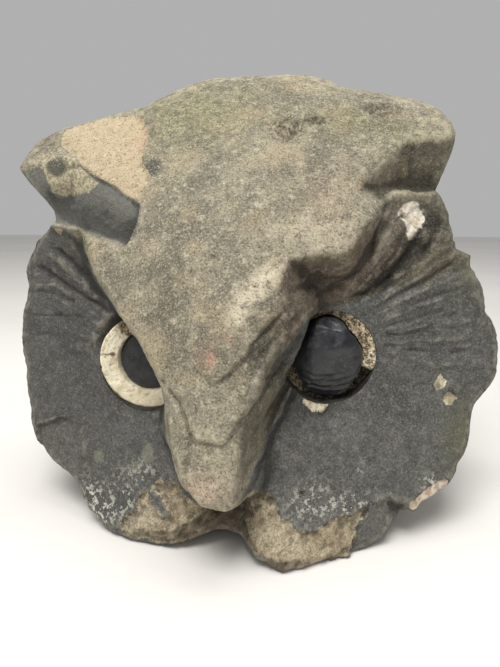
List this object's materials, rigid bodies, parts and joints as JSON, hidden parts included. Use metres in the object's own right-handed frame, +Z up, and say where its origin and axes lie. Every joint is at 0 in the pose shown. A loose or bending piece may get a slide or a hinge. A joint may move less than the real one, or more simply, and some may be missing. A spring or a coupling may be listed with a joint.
{
  "type": "stone corbel carved as an owl's head",
  "caption": "Weathered sandstone corbel carved as an owl's head with ear tufts, hooked beak and round facial discs; black eye plugs bedded in pale mortar; flat back bed.",
  "frame": {"origin": "middle of the flat bed at the back, which meets the wall", "axes": "+Z up, the face looks along -Y, +Y is the outward normal of the bed at the back, +X to the viewer's right"},
  "size_m": [0.3254, 0.1782, 0.2936],
  "materials": {
    "sandstone": "weathered carved sandstone, matte, grey-olive on the forehead, black soot patina on the facial discs, tan where worn or freshly chipped",
    "pale_mortar": "pale cream bedding mortar, matte, with small brown specks",
    "black_stone": "black jet-like stone, roughly knapped, dull to slightly glossy"
  },
  "bodies": {
    "root": {"stone_head": "sandstone", "mortar_ring_left": "pale_mortar", "mortar_ring_right": "pale_mortar", "eye_plug_left": "black_stone", "eye_plug_right": "black_stone"}
  },
  "joints": []
}
